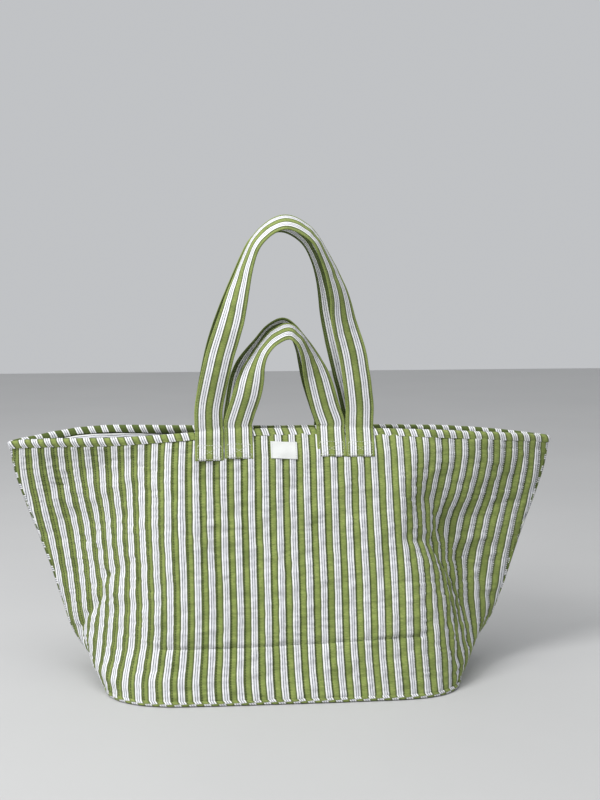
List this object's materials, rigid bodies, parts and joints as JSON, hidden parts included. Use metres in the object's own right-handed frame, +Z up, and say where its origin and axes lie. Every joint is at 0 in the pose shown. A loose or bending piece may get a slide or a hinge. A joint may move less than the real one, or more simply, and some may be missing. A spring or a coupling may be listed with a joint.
{
  "type": "weekender bag",
  "caption": "Large open-topped quilted tote in green cloth with white stripes: flared body, flat oval base, bound rim, inner pocket, long shoulder straps and short carry handles.",
  "frame": {"origin": "on the floor under the middle of the base", "axes": "+X to the right along the mouth as seen from the front, +Y towards the back, +Z up"},
  "size_m": [0.7794, 0.2876, 0.6613],
  "materials": {
    "striped_quilt": "quilted woven cotton, green with groups of white cords",
    "wadding": "soft polyester wadding",
    "striped_lining": "plain woven cotton, green with white stripes",
    "striped_binding": "folded strip of the striped cotton",
    "striped_strap": "folded and edge-stitched striped cotton",
    "thread": "pale sewing thread",
    "label_cloth": "woven satin tape, blank"
  },
  "bodies": {
    "root": {"front_outer_panel": "striped_quilt", "front_wadding": "wadding", "front_lining": "striped_lining", "back_outer_panel": "striped_quilt", "back_wadding": "wadding", "back_lining": "striped_lining", "base_outer_panel": "striped_quilt", "base_wadding": "wadding", "base_lining": "striped_lining", "rim_binding": "striped_binding", "base_binding": "striped_binding", "left_seam_tape": "striped_binding", "right_seam_tape": "striped_binding", "slip_pocket": "striped_lining", "slip_pocket_binding": "striped_binding", "slip_pocket_stitching": "thread", "label": "label_cloth", "front_shoulder_strap_left_end": "striped_strap", "front_shoulder_strap_left_stitching": "thread", "front_shoulder_strap_right_end": "striped_strap", "front_shoulder_strap_right_stitching": "thread", "back_shoulder_strap_left_end": "striped_strap", "back_shoulder_strap_left_stitching": "thread", "back_shoulder_strap_right_end": "striped_strap", "back_shoulder_strap_right_stitching": "thread", "front_carry_handle_left_end": "striped_strap", "front_carry_handle_left_stitching": "thread", "front_carry_handle_right_end": "striped_strap", "front_carry_handle_right_stitching": "thread", "back_carry_handle_left_end": "striped_strap", "back_carry_handle_left_stitching": "thread", "back_carry_handle_right_end": "striped_strap", "back_carry_handle_right_stitching": "thread"},
    "front_shoulder_strap": {"front_shoulder_strap": "striped_strap"},
    "back_shoulder_strap": {"back_shoulder_strap": "striped_strap"},
    "front_carry_handle": {"front_carry_handle": "striped_strap"},
    "back_carry_handle": {"back_carry_handle": "striped_strap"}
  },
  "joints": [
    {"name": "front_shoulder_strap_fold", "type": "hinge", "parent": "root", "child": "front_shoulder_strap", "pos_m": [0, -0.0283, 0.3589], "axis": [1, 0, 0], "range_deg": [0, 150]},
    {"name": "back_shoulder_strap_fold", "type": "hinge", "parent": "root", "child": "back_shoulder_strap", "pos_m": [0, 0.0283, 0.3589], "axis": [1, 0, 0], "range_deg": [-150, 0]},
    {"name": "front_carry_handle_fold", "type": "hinge", "parent": "root", "child": "front_carry_handle", "pos_m": [0, -0.0232, 0.3594], "axis": [1, 0, 0], "range_deg": [0, 150]},
    {"name": "back_carry_handle_fold", "type": "hinge", "parent": "root", "child": "back_carry_handle", "pos_m": [0, 0.0232, 0.3594], "axis": [1, 0, 0], "range_deg": [-150, 0]}
  ]
}
